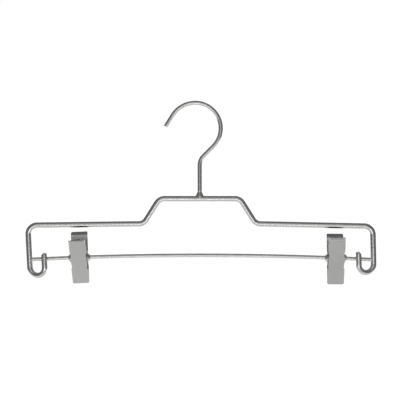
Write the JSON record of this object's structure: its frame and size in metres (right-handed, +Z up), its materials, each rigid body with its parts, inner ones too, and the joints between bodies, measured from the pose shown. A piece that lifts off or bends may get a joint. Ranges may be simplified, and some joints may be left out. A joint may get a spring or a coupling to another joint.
{
  "type": "trouser hanger",
  "caption": "Bent wire trouser hanger with a swivel hook, upturned end hooks and spring clips that slide and swing on a bowed rail.",
  "frame": {"origin": "on the hook's swivel axis, on the inside of the hook's round, where the level hanger hangs on its pole", "axes": "+X along the hanger to the right as seen from the front, +Y to the back, +Z up"},
  "size_m": [0.3525, 0.0361, 0.1845],
  "materials": {
    "hook_steel": "satin plated",
    "frame_steel": "satin plated",
    "clip_steel": "satin plated",
    "pivot_steel": "bright plated",
    "spring_steel": "drawn wire",
    "pad_rubber": "matt"
  },
  "bodies": {
    "hook": {"hook_wire": "hook_steel"},
    "frame": {"frame_wire": "frame_steel", "hook_collar": "frame_steel", "clip_rail": "frame_steel"},
    "left_slider": {"left_pivot_sleeve": "pivot_steel"},
    "left_clip": {"left_rear_jaw": "clip_steel", "left_rear_pad": "pad_rubber", "left_torsion_spring": "spring_steel"},
    "left_jaw": {"left_front_jaw": "clip_steel", "left_front_pad": "pad_rubber"},
    "right_slider": {"right_pivot_sleeve": "pivot_steel"},
    "right_clip": {"right_rear_jaw": "clip_steel", "right_rear_pad": "pad_rubber", "right_torsion_spring": "spring_steel"},
    "right_jaw": {"right_front_jaw": "clip_steel", "right_front_pad": "pad_rubber"}
  },
  "joints": [
    {"name": "hook_swivel", "type": "hinge", "parent": "hook", "child": "frame", "pos_m": [0, 0, -0.0931], "axis": [0, 0, 1], "continuous": true},
    {"name": "left_clip_slide", "type": "hinge", "parent": "frame", "child": "left_slider", "pos_m": [0, 0, -3.5804], "axis": [0, -1, 0], "range_deg": [-1.82, 0.34]},
    {"name": "left_clip_swing", "type": "hinge", "parent": "left_slider", "child": "left_clip", "pos_m": [-0.12089, 0, -0.15283], "axis": [0.9987, -0.0209, 0.0457], "continuous": true},
    {"name": "left_jaw_open", "type": "hinge", "parent": "left_clip", "child": "left_jaw", "pos_m": [-0.12089, 0, -0.15283], "axis": [-0.9987, 0.0209, -0.0457], "range_deg": [0, 50], "stiffness_Nm_per_rad": 0.17, "springref_deg": -51.57, "deforming": ["left_torsion_spring"]},
    {"name": "right_clip_slide", "type": "hinge", "parent": "frame", "child": "right_slider", "pos_m": [0, 0, -3.5804], "axis": [0, 1, 0], "range_deg": [-2.08, 0.14]},
    {"name": "right_clip_swing", "type": "hinge", "parent": "right_slider", "child": "right_clip", "pos_m": [0.1368, 0, -0.15318], "axis": [1, 0, -0.0067], "continuous": true},
    {"name": "right_jaw_open", "type": "hinge", "parent": "right_clip", "child": "right_jaw", "pos_m": [0.1368, 0, -0.15318], "axis": [-1, 0, 0.0067], "range_deg": [0, 50], "stiffness_Nm_per_rad": 0.17, "springref_deg": -51.57, "deforming": ["right_torsion_spring"]}
  ]
}
